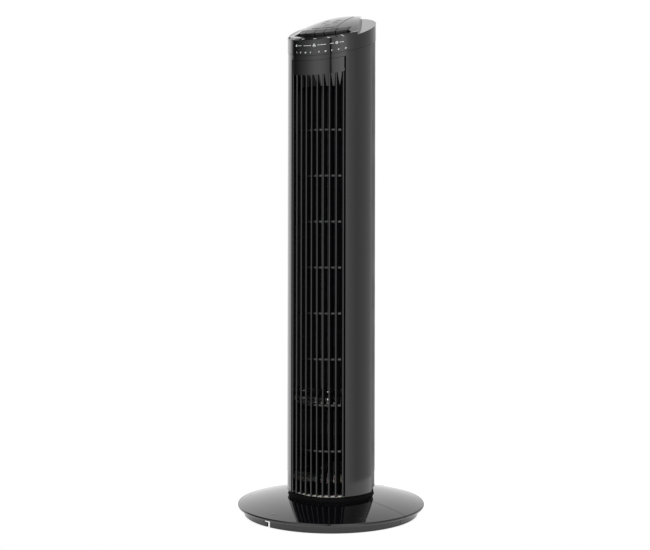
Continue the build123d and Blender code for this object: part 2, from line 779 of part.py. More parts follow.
def run_capacitor():
    """Motor capacitor on two posts of the foot."""
    case = block(-50, -30, -18, 18, stand_top_z, stand_top_z + 30)
    case = fillet(case.edges().filter_by(Axis.Z), 3)
    ears = block(-45, -35, -27, 27, stand_top_z, stand_top_z + 1.5)
    body = case + ears
    for x, y in stand_points()[:2]:
        body -= rod(screw_hole_r, stand_top_z - 1, stand_top_z + 3, x, y)
    return body


def stand_screws():
    solids = []
    for i, (x, y) in enumerate(stand_points()):
        top = stand_top_z + (1.5 if i < 2 else board_t)
        solids.append(rod(pilot_r, top - 7, top + 0.1, x, y) + rod(pan_r, top, top + 1.6, x, y))
    return solids


# ---------------------------------------------------------------- head
def scoop(inset):
    """Everything above the lowered right side, grown inwards by inset."""
    dx, dy = scoop_back[0] - scoop_front[0], scoop_back[1] - scoop_front[1]
    length = math.hypot(dx, dy)
    nx, ny = -dy / length, dx / length
    ax, ay = scoop_front[0] + nx * inset - dx, scoop_front[1] + ny * inset - dy
    bx, by = scoop_back[0] + nx * inset + dx, scoop_back[1] + ny * inset + dy
    front_y = scoop_front[1] - inset
    t = (front_y - ay) / (by - ay)
    corner = (ax + (bx - ax) * t, front_y)
    outline = make_face(Polyline(corner, (120, front_y), (120, by), (bx, by), close=True))
    return extrude(outline, amount=FAR * 2) & above(scoop_z - inset, scoop_slope)


def on_deck(sketch, w0, w1):
    return deck * Pos(0, 0, w0) * extrude(sketch, amount=w1 - w0)


def lip_area(inset):
    """The deck in front of the keys, seen square to the deck."""
    edge = math.asin(key_pitch * key_count / 2 / key_outer_r) + math.radians(1.0) + inset / key_outer_r
    r = key_outer_r + key_fit - inset
    reach = 2 * head_r
    return make_face([
        CenterArc((0, 0), r, -90 - math.degrees(edge), 2 * math.degrees(edge)),
        Line((r * math.sin(edge), -r * math.cos(edge)), (reach * math.sin(edge), -reach * math.cos(edge))),
        Line((reach * math.sin(edge), -reach * math.cos(edge)), (reach * math.sin(edge), -reach)),
        Line((reach * math.sin(edge), -reach), (-reach * math.sin(edge), -reach)),
        Line((-reach * math.sin(edge), -reach), (-reach * math.sin(edge), -reach * math.cos(edge))),
        Line((-reach * math.sin(edge), -reach * math.cos(edge)), (-r * math.sin(edge), -r * math.cos(edge))),
    ])


def lip_space(inset):
    """Everything above the flat lip in front of the keys, grown inwards by inset."""
    return on_deck(lip_area(inset), -inset, 60)


def lip_edge():
    """What the bevel takes off the front edge of the lip."""
    long_r = head_r / math.cos(math.atan(slant))
    low = Pos(0, -lip_bevel * slant, -lip_bevel) * Ellipse(head_r, long_r)
    high = Ellipse(head_r - lip_bevel, long_r - lip_bevel)
    return on_deck(lip_area(-joint_gap), -lip_bevel, 60) - deck * loft([low, high])


def key_sketch(x0, x1, grow):
    """Strip between two arcs of the same radius, cut to one stretch across the deck."""
    band = Circle(key_outer_r + grow) - Pos(0, key_depth + 2 * grow) * Circle(key_outer_r + grow)
    window = Pos((x0 + x1) / 2, -key_outer_r / 2) * Rectangle(x1 - x0, key_outer_r * 1.2)
    return band & window


def remote_sketch(grow):
    """Outline of the remote: bowed front edge, cut corners."""
    length = remote_back - remote_front
    middle = (remote_back + remote_front) / 2
    shape = Pos(0, middle) * Rectangle(remote_w + 2 * grow, length + 2 * grow)
    shape = chamfer(shape.vertices(), remote_corner)
    bow = Pos(0, remote_front + remote_bow_r - grow) * Circle(remote_bow_r)
    rest = Pos(0, middle + length / 4) * Rectangle(remote_w + 2 * grow + 1, length / 2 + 2 * grow + 1)
    return shape & (bow + rest)


def head_shell():
    """Control housing: ring wall, crowned deck, lowered sides, key slot and remote dock."""
    reach = key_pitch * key_count / 2
    body = rod(head_r, seam_z - 60, seam_z + 100) & above(seam_z, slant)
    body = (body & crown()) + (body & below(deck_z, slant))
    body = body - lip_space(0) - lip_edge() - scoop(0) - mirror(scoop(0), about=Plane.YZ)
    room = rod(head_in_r, seam_z - 60, seam_z + 100) & crown(-head_wall)
    room = room - lip_space(head_wall) - scoop(head_wall) - mirror(scoop(head_wall), about=Plane.YZ)
    tub = on_deck(remote_sketch(key_fit + dock_wall), dock_floor - dock_wall, 60)
    body = (body - room) + (tub & body)
    body -= on_deck(remote_sketch(key_fit), dock_floor, 60)
    body -= on_deck(key_sketch(-reach - key_fit, reach + key_fit, key_fit), -20, 60)
    thumb = deck * Pos(0, remote_back + 3, dock_floor + 14) * Sphere(9)
    body -= thumb & on_deck(Pos(0, remote_back) * Rectangle(20, 24), dock_floor, 60)
    rebate = window_sector(head_r + 1, head_r - window_t - hair, hair)
    body -= rebate
    slot = sector(head_r + 1, head_in_r - 1, seam_z - 60, seam_z + 60, -30, 30)
    slot = slot & above(seam_z + 6, slant) & below(deck_z - window_drop - 5, slant)
    return body - slot


def window_sector(r_out, r_in, grow):
    edge = window_edge + math.degrees(grow / head_r)
    shape = sector(r_out, r_in, seam_z - 60, seam_z + 60, -edge, edge)
    return shape & above(seam_z + 1.2 - grow, slant) & below(deck_z - window_drop + grow, slant)


def display_window():
    return window_sector(head_r, head_r - window_t, 0)


def head_tray():
    """Floor of the head: a sloping plate with a collar that drops into the tower."""
    r = head_in_r - joint_gap
    plate = rod(r, seam_z - 60, seam_z + 60) & above(seam_z + 0.6, slant) & below(seam_z + 3.0, slant)
    ring_r = rear_r - wall - joint_gap
    collar = tube(ring_r, ring_r - 1.8, seam_z - 60, seam_z + 60)
    collar = collar & above(seam_z - 5, slant) & below(seam_z + 1.5, slant)
    tray = plate + collar
    return tray - rod(6, seam_z - 60, seam_z + 60, 0, 30)


def key(index):
    """One key cap with its stem, following the crowned deck."""
    x0 = (index - key_count / 2) * key_pitch + key_gap / 2
    x1 = x0 + key_pitch - key_gap
    cap = on_deck(key_sketch(x0, x1, 0), key_bottom + 2, 60) & crown(key_proud)
    x, v = key_centre(index)
    stem = deck * Pos(x, v, key_bottom + 1.25) * Box(5, 5, 2.5)
    return cap + stem


def key_centre(index):
    x = (index + 0.5 - key_count / 2) * key_pitch
    return x, key_depth / 2 - math.sqrt(key_outer_r**2 - x**2)


def key_board():
    band = key_sketch(-41, 41, 2.0)
    return on_deck(band, board_w, board_w + board_t)


def tact_switches():
    solids = []
    for i in range(key_count):
        x, v = key_centre(i)
        z = board_w + board_t
        base = deck * Pos(x, v, z + 1.75) * Box(6, 6, 3.5)
        plunger = deck * Pos(x, v, (z + 3.4 + tact_top) / 2) * Cylinder(1.7, tact_top - z - 3.4)
        solids.append(base + plunger)
    return group(solids)


def display_board():
    x1 = 27.0
    z0 = seam_z + slant * display_y + 5
    return block(-x1, x1, display_y, display_y + board_t, z0, z0 + 16)


def display_leds():
    z = seam_z + slant * display_y + 10
    solids = []
    for i in range(led_count):
        x = (i - (led_count - 1) / 2) * led_pitch
        solids.append(Pos(x, display_y - 1.0, z) * Box(3.0, 2.0, 1.6))
    return solids


def ir_receiver():
    z = seam_z + slant * display_y + 17
    body = block(-3, 3, display_y - 3, display_y, z - 3, z + 3)
    return body + Pos(0, display_y - 3, z) * Sphere(2.2)


# ---------------------------------------------------------------- remote control
def remote_body(w0, w1):
    return on_deck(remote_sketch(0), w0, w1) & crown(remote_proud)


def remote_key_centres():
    first = remote_front + remote_key_first
    pairs = [(x, first + row * remote_key_pitch) for row in (1, 2) for x in (-remote_key_x, remote_key_x)]
    return [(0.0, first), *pairs]


def remote_cavity():
    return on_deck(
        Pos(0, (remote_front + remote_back) / 2) * Rectangle(remote_w - 6, remote_back - remote_front - 12),
        remote_floor + 1.4, 60,
    ) & crown(-1.4)


def tray_space(grow):
    middle = remote_back - 12
    outline = Pos(0, middle) * Rectangle(24 + 2 * grow, 26)
    return on_deck(outline, remote_floor + 1.4 - grow, remote_floor + 5.6 + grow)


def remote_lower_case():
    return remote_body(remote_floor, remote_split) - remote_cavity() - tray_space(hair)


def remote_upper_case():
    holes = [
        on_deck(Pos(x, v) * Circle(remote_key_r + pad_fit), remote_split - 1, 60)
        for x, v in remote_key_centres()
    ]
    return remote_body(remote_split, 60) - [remote_cavity(), tray_space(hair), *holes]


def remote_board():
    front, back = remote_front + 7, remote_back - 27
    plate = Pos(0, (front + back) / 2) * Rectangle(remote_w - 8, back - front)
    return on_deck(plate, remote_floor + 1.6, remote_floor + 2.6)


def remote_key(index):
    x, v = remote_key_centres()[index]
    pad = on_deck(Pos(x, v) * Circle(remote_key_r), remote_floor + 4.2, 60)
    return pad & crown(remote_proud + remote_key_proud)


def battery_tray():
    tray = tray_space(0)
    tray = tray & on_deck(remote_sketch(0), 0, 60)
    return tray - on_deck(Pos(0, remote_back - 13) * Circle(10.2), remote_floor + 2.4, 60)


def coin_cell():
    return on_deck(Pos(0, remote_back - 13) * Circle(10.0), remote_floor + 2.4, remote_floor + 5.4)


# ---------------------------------------------------------------- write the pieces
save("base_front_half", base_half(False))
save("base_rear_half", base_half(True))
save("rubber_feet", rubber_feet())
save("base_screws", base_screws())
save("swivel_plate", swivel_plate())
save("glide_ring", glide_ring())
save("swing_gear", swing_gear())
save("gear_screws", gear_screws())
save("cord_gland", cord_gland())
save("tower_foot", tower_foot())
save("swing_motor", swing_motor())
save("swing_pinion", swing_pinion())
save("front_shell", front_shell())
save("rear_shell", rear_shell())
save("shell_screws", shell_screws())
save("front_grille", front_grille())
save("scroll_wall", scroll_wall())
save("tongue_wall", tongue_wall())
save("lower_duct_plate", lower_duct_plate())
save("upper_duct_plate", upper_duct_plate())
save("bearing_rubber", bearing_rubber())
save("bearing_bush", bearing_bush())
save("impeller", impeller())
save("impeller_stub", impeller_stub())
save("hub_set_screw", hub_set_screw())
save("motor_lower_housing", bell(motor_z, core_z, True))
save("motor_upper_housing", bell(core_z + core_h, bell_top_z, False))
save("stator_core", stator_core())
save("stator_coils", stator_coils())
save("rotor", rotor())
save("motor_shaft", motor_shaft())
save("motor_bearings", motor_bearings())
save("motor_bracket", motor_bracket())
save("motor_dampers", motor_dampers())
save("power_board", power_board())
save("power_parts", power_parts())
save("run_capacitor", run_capacitor())
save("inner_screws", group(swing_motor_screws() + bracket_screws() + stand_screws()))
save("head_shell", head_shell())
save("display_window", display_window())
save("head_tray", head_tray())
save("key_board", key_board())
save("tact_switches", tact_switches())
save("display_board", display_board())
save("display_diodes", group(display_leds() + [ir_receiver()]))
for number in range(key_count):
    save(f"deck_key_{number + 1}", key(number))
save("remote_lower_case", remote_lower_case())
save("remote_upper_case", remote_upper_case())
save("remote_board", remote_board())
save("battery_tray", battery_tray())
save("coin_cell", coin_cell())
for number in range(len(remote_key_centres())):
    save(f"remote_key_{number + 1}", remote_key(number))
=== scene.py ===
import math

import bmesh
import bpy
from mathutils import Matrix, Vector
from mathutils.bvhtree import BVHTree


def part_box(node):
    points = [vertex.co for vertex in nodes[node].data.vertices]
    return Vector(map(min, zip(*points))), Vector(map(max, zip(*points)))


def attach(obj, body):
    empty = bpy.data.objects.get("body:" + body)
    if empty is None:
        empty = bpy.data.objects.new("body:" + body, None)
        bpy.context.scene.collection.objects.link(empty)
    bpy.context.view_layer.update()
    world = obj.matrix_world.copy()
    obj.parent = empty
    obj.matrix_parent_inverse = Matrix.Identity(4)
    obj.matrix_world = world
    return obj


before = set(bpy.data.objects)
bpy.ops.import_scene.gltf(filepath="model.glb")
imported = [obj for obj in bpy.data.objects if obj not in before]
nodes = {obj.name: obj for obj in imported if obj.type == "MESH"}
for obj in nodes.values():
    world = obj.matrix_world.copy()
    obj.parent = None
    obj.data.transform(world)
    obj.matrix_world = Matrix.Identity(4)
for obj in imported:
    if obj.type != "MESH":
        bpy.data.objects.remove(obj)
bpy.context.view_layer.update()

# ---- Base halves
# Two half-round mouldings of black ABS, both screwed to the neck between them. They come out of a
# mirror-polished tool, so the plate reflects the column and shows a little dust.


def linear(colour):
    """An sRGB hex colour as the linear values that a shader takes."""
    parts = [int(colour[i:i + 2], 16) / 255 for i in (0, 2, 4)]
    return tuple(c / 12.92 if c <= 0.04045 else ((c + 0.055) / 1.055) ** 2.4 for c in parts) + (1.0,)


def add_node(tree, kind, inputs=None, **settings):
    """Adds one node, with its settings, and fills or links its inputs."""
    made = tree.nodes.new(kind)
    for name, value in settings.items():
        setattr(made, name, value)
    for name, value in (inputs or {}).items():
        if isinstance(value, bpy.types.NodeSocket):
            tree.links.new(value, made.inputs[name])
        else:
            made.inputs[name].default_value = value
    return made


def new_finish(name, colour, roughness, metallic=0.0, **sockets):
    """A material with its shader's uniform values set, and the object's coordinates in metres."""
    finish = bpy.data.materials.new(name)
    finish.use_nodes = True
    shader = finish.node_tree.nodes["Principled BSDF"]
    shader.inputs["Base Color"].default_value = linear(colour)
    shader.inputs["Roughness"].default_value = roughness
    shader.inputs["Metallic"].default_value = metallic
    for socket, value in sockets.items():
        shader.inputs[socket.replace("_", " ")].default_value = value
    place = add_node(finish.node_tree, "ShaderNodeTexCoord").outputs["Object"]
    return finish, finish.node_tree, shader, place


def grain(tree, place, size_mm, detail=2.0):
    """Noise whose features are about size_mm across."""
    noise = add_node(tree, "ShaderNodeTexNoise", {"Vector": place, "Scale": 1000 / size_mm, "Detail": detail})
    return noise.outputs["Fac"]


def between(tree, value, low, high, start=0.3, end=0.7):
    """The value's middle band spread over a new range."""
    spread = add_node(tree, "ShaderNodeMapRange", {
        "Value": value, "From Min": start, "From Max": end, "To Min": low, "To Max": high,
    })
    return spread.outputs["Result"]


def raise_surface(tree, shader, height, depth_mm):
    """Relief of a depth given in millimetres."""
    bump = add_node(tree, "ShaderNodeBump", {"Height": height, "Distance": depth_mm / 1000})
    tree.links.new(bump.outputs["Normal"], shader.inputs["Normal"])


def moulded(name, colour, roughness, spread, drift_mm, grain_mm, depth_mm, **sockets):
    """Injection-moulded plastic: tool texture in relief, and a gloss that drifts slowly over the surface."""
    finish, tree, shader, place = new_finish(name, colour, roughness, **sockets)
    gloss = between(tree, grain(tree, place, drift_mm), roughness - spread, roughness + spread)
    tree.links.new(gloss, shader.inputs["Roughness"])
    raise_surface(tree, shader, grain(tree, place, grain_mm), depth_mm)
    return finish


def wear(finish, *names, edge_mm=0.0):
    """Gives CAD nodes their finish, and where edge_mm is set, the rounded edges of a real moulding."""
    for name in names:
        piece = nodes[name]
        piece.data.materials.clear()
        piece.data.materials.append(finish)
        if edge_mm:
            weld = piece.modifiers.new("weld", "WELD")
            weld.merge_threshold = 0.00001
            soft = piece.modifiers.new("edges", "BEVEL")
            soft.width = edge_mm / 1000
            soft.segments = 2
            soft.limit_method = "ANGLE"
            soft.angle_limit = math.radians(35)
            soft.harden_normals = True


# Mirror-polished ABS: almost black in itself, so what the eye reads is the room's reflection. The gloss
# is broken only by dust, drawn as 0.6 mm specks because the real ones are too fine to show.
polished_abs, tree, shader, place = new_finish("abs_mirror_polished", "0a0a0c", 0.035, IOR=1.52)
specks = add_node(tree, "ShaderNodeTexVoronoi", {"Vector": place, "Scale": 1000 / 6.0}, feature="F1")
dust = between(tree, specks.outputs["Distance"], 1.0, 0.0, 0.03, 0.07)
haze = between(tree, grain(tree, place, 60), 0.02, 0.05)
dusty = add_node(tree, "ShaderNodeMix", {"Factor": dust, "A": haze, "B": 0.25})
tree.links.new(dusty.outputs[0], shader.inputs["Roughness"])
raise_surface(tree, shader, grain(tree, place, 45, 1.0), 0.02)
wear(polished_abs, "base_front_half", "base_rear_half")

# ---- Rubber feet
# Six soft pads pressed into posts under the base. They are moulded black rubber with a dull, slightly
# dusty skin.
foot_rubber = moulded("rubber_moulded_dull", "1a1a1a", 0.85, 0.06, 4.0, 0.4, 0.03, Specular_IOR_Level=0.3)
wear(foot_rubber, "rubber_feet")

# ---- Swivel plate and neck
# The fixed neck between base and tower, screwed to both base halves. It is unpolished black polypropylene
# that hides in the tower's shadow; its near-black colour and weak shine are painted shade for that shadow.
neck_painted_shade = moulded(
    "polypropylene_black_painted_shade", "050505", 0.8, 0.05, 15, 0.8, 0.02, Specular_IOR_Level=0.12
)
wear(neck_painted_shade, "swivel_plate")

# ---- Swing drive
# A ring of white acetal that the tower slides on, a fixed acetal gear on the pivot, and the pinion that
# walks the tower round it. Acetal is waxy and slightly translucent, with faint flow marks from the gate.
acetal, tree, shader, place = new_finish(
    "acetal_moulded_natural", "e6e3da", 0.38, Subsurface_Weight=0.15, Subsurface_Scale=0.002
)
flow = grain(tree, place, 9, 3.0)
tint = add_node(tree, "ShaderNodeMix", {
    "Factor": between(tree, flow, 0.0, 1.0), "A": linear("e6e3da"), "B": linear("d9d5c8"),
}, data_type="RGBA")
tree.links.new(tint.outputs["Result"], shader.inputs["Base Color"])
raise_surface(tree, shader, grain(tree, place, 0.6), 0.006)
wear(acetal, "glide_ring", "swing_gear", "swing_pinion")

# ---- Screws, bracket and other plated steel
# The self-tapping screws and the motor's hanger are mild steel with a clear zinc plating, which gives a
# bluish shine that yellows in patches.
zinc, tree, shader, place = new_finish("steel_zinc_plated", "b6bac0", 0.32, metallic=1.0)
patches = add_node(tree, "ShaderNodeMix", {
    "Factor": between(tree, grain(tree, place, 5), 0.0, 1.0), "A": linear("b4bac4"), "B": linear("c2bda6"),
}, data_type="RGBA")
tree.links.new(patches.outputs["Result"], shader.inputs["Base Color"])
tree.links.new(between(tree, grain(tree, place, 1.5), 0.24, 0.42), shader.inputs["Roughness"])
raise_surface(tree, shader, grain(tree, place, 0.5), 0.01)
wear(zinc, "base_screws", "gear_screws", "shell_screws", "inner_screws", "hub_set_screw", "motor_bracket")

# The swing motor's can stands behind the grille; its phosphated black is painted shade for the dark there.
# The crystals make the steel dull and slightly mottled at 1 mm.
shade_black_steel = moulded("steel_phosphated_black_painted_shade", "1a1b1c", 0.55, 0.1, 1.0, 0.5, 0.01, Specular_IOR_Level=0.4)
wear(shade_black_steel, "swing_motor")

# ---- Cord gland, bearing seat and motor dampers
# Rubber parts out of sight: the bush in the lower end of the hollow pivot, the top bearing's seat and the
# motor's three dampers. They have the dull skin of the feet, but no dust, because nothing touches them.
gland_rubber = moulded("rubber_moulded_clean", "141414", 0.7, 0.05, 6.0, 0.5, 0.02, Specular_IOR_Level=0.3)
wear(gland_rubber, "cord_gland", "bearing_rubber", "motor_dampers")

# ---- Tower foot, duct and impeller
# The turntable floor, the scroll and tongue walls, the duct's end plates and the head's floor are unpolished
# black polypropylene, each moulded in one piece and fixed inside the shells.
duct_pp = moulded("polypropylene_moulded_black", "0d0d0d", 0.5, 0.08, 25, 0.7, 0.02, Specular_IOR_Level=0.35)
duct_names = ("tower_foot", "scroll_wall", "tongue_wall", "lower_duct_plate", "upper_duct_plate", "head_tray")
wear(duct_pp, *duct_names)

# The impeller's glass-filled styrene is a little lighter and streaked along the blades, 3 mm from streak
# to streak.
drum_san, tree, shader, place = new_finish("styrene_glass_filled_grey", "2c2d30", 0.42)
along = add_node(tree, "ShaderNodeMapping", {"Vector": place, "Scale": (1.0, 1.0, 0.05)})
streaks = grain(tree, along.outputs["Vector"], 3)
shade = add_node(tree, "ShaderNodeMix", {
    "Factor": between(tree, streaks, 0.0, 1.0), "A": linear("26272a"), "B": linear("35363a"),
}, data_type="RGBA")
tree.links.new(shade.outputs["Result"], shader.inputs["Base Color"])
raise_surface(tree, shader, streaks, 0.02)
wear(drum_san, "impeller")

# ---- Bearings, shaft and rotor
# The shafts and the rotor are ground bright steel, with grinding rings round them 0.4 mm apart. The bushes
# are oil-filled sintered bronze, whose pores make it dull and spotty.
ground, tree, shader, place = new_finish("steel_ground_bright", "c3c4c7", 0.22, metallic=1.0)
rings = add_node(tree, "ShaderNodeTexWave", {
    "Vector": place, "Scale": 1000 / 0.4 / (2 * math.pi), "Distortion": 1.5,
}, bands_direction="Z")
tree.links.new(between(tree, rings.outputs["Fac"], 0.16, 0.3, 0.0, 1.0), shader.inputs["Roughness"])
raise_surface(tree, shader, rings.outputs["Fac"], 0.004)
wear(ground, "motor_shaft", "impeller_stub", "rotor")

bronze, tree, shader, place = new_finish("bronze_sintered_oiled", "9c7648", 0.45, metallic=1.0)
pores = grain(tree, place, 0.35, 4.0)
tree.links.new(between(tree, pores, 0.35, 0.6), shader.inputs["Roughness"])
raise_surface(tree, shader, pores, 0.03)
wear(bronze, "bearing_bush", "motor_bearings")

# ---- Motor
# Two die-cast aluminium bells hold the bearings each side of a stack of stamped steel sheets, with four
# windings of enamelled copper wire. The bells' black paint over their sandy skin and the stack's dark varnish
# over its 0.5 mm sheets, shown as fine lines, are painted shade, so that nothing shines behind the grille.
cast_name = "aluminium_die_cast_black_painted_shade"
cast, tree, shader, place = new_finish(cast_name, "151617", 0.55, Specular_IOR_Level=0.3)
sand = grain(tree, place, 0.8, 4.0)
tree.links.new(between(tree, sand, 0.38, 0.56), shader.inputs["Roughness"])
raise_surface(tree, shader, sand, 0.05)
wear(cast, "motor_lower_housing", "motor_upper_housing")

# The stack's near-black tones are painted shade for the inside of the tower; the lines are its sheets.
stack, tree, shader, place = new_finish("steel_stamped_laminations_painted_shade", "1e1c1a", 0.5)
sheets = add_node(tree, "ShaderNodeTexWave", {
    "Vector": place, "Scale": 1000 / 0.5 / (2 * math.pi),
}, bands_direction="Z")
line = add_node(tree, "ShaderNodeMix", {
    "Factor": sheets.outputs["Fac"], "A": linear("121110"), "B": linear("2c2a28"),
}, data_type="RGBA")
tree.links.new(line.outputs["Result"], shader.inputs["Base Color"])
raise_surface(tree, shader, sheets.outputs["Fac"], 0.05)
wear(stack, "stator_core")

# The windings show their turns of 0.7 mm wire under a clear enamel; their dark tone and dark grooves are
# painted shade.
copper, tree, shader, place = new_finish(
    "copper_enamelled_wire", "7a3a1e", 0.4, metallic=1.0, Coat_Weight=0.3
)
turns = add_node(tree, "ShaderNodeTexWave", {
    "Vector": place, "Scale": 1000 / 0.7 / (2 * math.pi), "Distortion": 0.6,
}, bands_direction="Z")
wire = add_node(tree, "ShaderNodeMix", {
    "Factor": turns.outputs["Fac"], "A": linear("4a2010"), "B": linear("8a4a2a"),
}, data_type="RGBA")
tree.links.new(wire.outputs["Result"], shader.inputs["Base Color"])
raise_surface(tree, shader, turns.outputs["Fac"], 0.15)
wear(copper, "stator_coils")

# ---- Circuit boards
# Brown phenolic paper boards with their copper tracks under a lacquer. The tracks are drawn as 2.5 mm
# cells, coarser than real ones, in a second tone and a slight relief.
phenolic, tree, shader, place = new_finish("phenolic_board_lacquered", "8a6f42", 0.35)
cells = add_node(tree, "ShaderNodeTexVoronoi", {"Vector": place, "Scale": 1000 / 2.5},
                 feature="F1", distance="CHEBYCHEV")
lane = between(tree, cells.outputs["Distance"], 0.0, 1.0, 0.35, 0.4)
board = add_node(tree, "ShaderNodeMix", {
    "Factor": lane, "A": linear("6f5a34"), "B": linear("94774a"),
}, data_type="RGBA")
tree.links.new(board.outputs["Result"], shader.inputs["Base Color"])
raise_surface(tree, shader, lane, 0.035)
wear(phenolic, "power_board", "key_board", "display_board", "remote_board")

# ---- Components
# Transformer, relay, switches, receiver and lamps, soldered to the boards, and the motor's capacitor. They
# are drawn as glass-filled mouldings with a fine spark-eroded texture.
case_pbt = moulded("polyester_moulded_component", "24262b", 0.48, 0.05, 3.0, 0.4, 0.015)
wear(case_pbt, "power_parts", "tact_switches", "run_capacitor", "display_diodes", edge_mm=0.3)

# ---- Front shell and grille
# One moulding makes both side panels and the strip over the grille. Another makes the plain plate, the ten
# round-nosed fins, the cross ribs and the duct's sloping roof. Both are black ABS from a polished tool.
panel_abs = moulded("abs_polished_upright", "0d0d0f", 0.085, 0.02, 80, 35, 0.005, IOR=1.52)
wear(panel_abs, "front_shell", "front_grille")

# ---- Rear shell
# The back half of the tower, with the slotted intake, screwed to the front shell. Its tool is
# spark-eroded, so the black ABS is matt and faintly pebbled at about 0.5 mm.
rear_abs = moulded("abs_spark_eroded", "131315", 0.46, 0.05, 40, 0.5, 0.02)
wear(rear_abs, "rear_shell")

# ---- Head shell and display window
# The control housing is polished black ABS. The window let into its front is smoked acrylic, glossier and
# deeper black than the housing, with a hard edge all round.
wear(panel_abs, "head_shell")
smoked = moulded("acrylic_smoked_polished", "040405", 0.045, 0.015, 50, 40, 0.002, IOR=1.49, Coat_Weight=0.2)
wear(smoked, "display_window")

# Pad-printed legends on the window: an upper and a lower row of plain generic marks, in matt white ink. The
# ink is lifted 0.03 mm off the acrylic and is 0.06 mm thick.


def strip(start, end, width, step=0.0015):
    """Four-sided cells along a straight stroke, short enough to follow a curved surface."""
    start, end = Vector(start), Vector(end)
    run = end - start
    side = Vector((-run.y, run.x)).normalized() * width / 2
    count = max(1, round(run.length / step))
    rails = [start + run * i / count for i in range(count + 1)]
    return [(a - side, b - side, b + side, a + side) for a, b in zip(rails, rails[1:])]


def ring(centre, outer, inner, first=0, last=360, sides=20):
    """Cells of a ring or of an arc of it; an inner radius near zero makes a dot."""
    centre = Vector(centre)
    turns = [math.radians(first + (last - first) * i / sides) for i in range(sides + 1)]
    rim = [Vector((math.cos(a), math.sin(a))) for a in turns]
    return [(centre + a * inner, centre + a * outer, centre + b * outer, centre + b * inner)
            for a, b in zip(rim, rim[1:])]


def print_marks(name, body, cells, land, finish, thick=0.00003):
    """Lays cells of ink on a surface and thickens them. land gives a place and its outward direction."""
    marks = bmesh.new()
    for cell in cells:
        lifted = []
        for corner in cell:
            spot, out = land(corner)
            lifted.append(marks.verts.new(spot + out * thick))
        marks.faces.new(lifted)
    bmesh.ops.remove_doubles(marks, verts=marks.verts, dist=0.000002)
    bmesh.ops.dissolve_degenerate(marks, edges=marks.edges, dist=0.000001)
    bmesh.ops.solidify(marks, geom=marks.faces[:], thickness=thick * 2)
    bmesh.ops.recalc_face_normals(marks, faces=marks.faces)
    mesh = bpy.data.meshes.new(name)
    marks.to_mesh(mesh)
    marks.free()
    mesh.materials.append(finish)
    piece = bpy.data.objects.new(name, mesh)
    bpy.context.scene.collection.objects.link(piece)
    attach(piece, body)


window_r = -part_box("display_window")[0][1]
seam_axis_z = 0.6998  # the sloping seam's height on the tower's axis
seam_rise = 0.37  # its rise towards the back, per unit


def on_window(spot):
    """A place on the window from an arc length off its middle and a height over the sloping seam."""
    heading = spot[0] / window_r
    out = Vector((math.sin(heading), -math.cos(heading), 0))
    place_on = out * window_r
    place_on.z = seam_axis_z + seam_rise * place_on.y + spot[1]
    return place_on, out


def arc_to(heading):
    """The arc length off the window's middle at a heading in degrees."""
    return math.radians(heading) * window_r


white_ink = moulded("ink_pad_printed_white", "d8dadb", 0.5, 0.08, 1.5, 0.3, 0.004)
stroke = 0.0005
pin = 0.00002  # inner radius of a filled dot
legend = []

# The upper row: rules between a half disc, a fan of three rings and a clock face.
upper_row = 0.0145
blade_reach = 0.0013
for first, last in ((-25, -19), (-15.5, -4.5), (4.5, 15.5), (20.5, 25.5), (32.5, 38)):
    legend += strip((arc_to(first), upper_row), (arc_to(last), upper_row), stroke)
for turn in (90, 210, 330):
    blade = math.radians(turn)
    hub = (arc_to(0) + blade_reach * math.cos(blade), upper_row + blade_reach * math.sin(blade))
    legend += ring(hub, 0.0011, 0.0006)
legend += ring((arc_to(-28), upper_row), 0.0017, pin, 60, 300)
clock = arc_to(29)
legend += ring((clock, upper_row), 0.0019, 0.0013)
legend += strip((clock, upper_row), (clock, upper_row + 0.0012), stroke)
legend += strip((clock, upper_row), (clock + 0.0009, upper_row), stroke)

# The lower row: nine small brackets of three widths.
lower_row = 0.0045
half_h = 0.0006
low, high = lower_row - half_h, lower_row + half_h
for count, heading in enumerate((-27.7, -20.4, -12.2, -4.9, 6.7, 15.1, 22.9, 31.4, 40.7)):
    across = arc_to(heading)
    half_w = 0.0006 + 0.0003 * (count % 3)
    legend += strip((across - half_w, high), (across + half_w, high), stroke)
    legend += strip((across - half_w, low), (across + half_w * 0.4, low), stroke)
    legend += strip((across - half_w, low), (across - half_w, high), stroke)
print_marks("window_legend", "tower", legend, on_window, white_ink)

# ---- Deck keys
# Five caps of satin black ABS that press on the switches under the deck. The texture scatters light, so
# they stay darker than the polished deck around them.
key_abs = moulded("abs_satin_key", "0c0c0d", 0.42, 0.04, 12, 0.5, 0.012, Specular_IOR_Level=0.35)
key_names = sorted(name for name in nodes if name.startswith("deck_key_"))
wear(key_abs, *key_names, edge_mm=0.5)

# One printed mark stands on the bevelled lip in front of each key.
deck_z = 0.7248  # the deck edge's height on the tower's axis
deck_tilt = math.atan(seam_rise)
deck_out = Vector((0, -math.sin(deck_tilt), math.cos(deck_tilt)))
deck_back = Vector((0, math.cos(deck_tilt), math.sin(deck_tilt)))


def surface_of(name):
    """A tree of a CAD node's rest-pose triangles, for laying things on it."""
    mesh = nodes[name].data
    points = [v.co.copy() for v in mesh.vertices]
    faces = [list(polygon.vertices) for polygon in mesh.polygons]
    return BVHTree.FromPolygons(points, faces)


def landing_on(surface):
    """Drops a place on the deck (sideways, up the slope) onto the surface, along the deck's normal."""
    drop = 0.05

    def land(spot):
        start = Vector((spot[0], 0, deck_z)) + deck_back * spot[1] + deck_out * drop
        hit, out, _, _ = surface.ray_cast(start, -deck_out)
        out = out if out.dot(deck_out) > 0 else -out
        return hit, out
    return land


lip_across, lip_along = 0.0652, 0.07  # half axes of the bevel's middle line, in the deck's plane
key_step = math.radians(17.9)
on_lip = landing_on(surface_of("head_shell"))
for number, name in enumerate(key_names):
    turn = key_step * (number - 2)
    across, up = lip_across * math.sin(turn), -lip_along * math.cos(turn)
    mark = strip((across - 0.0013, up), (across + 0.0013, up), 0.0007)
    mark += ring((across + 0.0023, up), 0.0005, pin)
    print_marks(f"lip_mark_{number + 1}", "tower", mark, on_lip, white_ink)

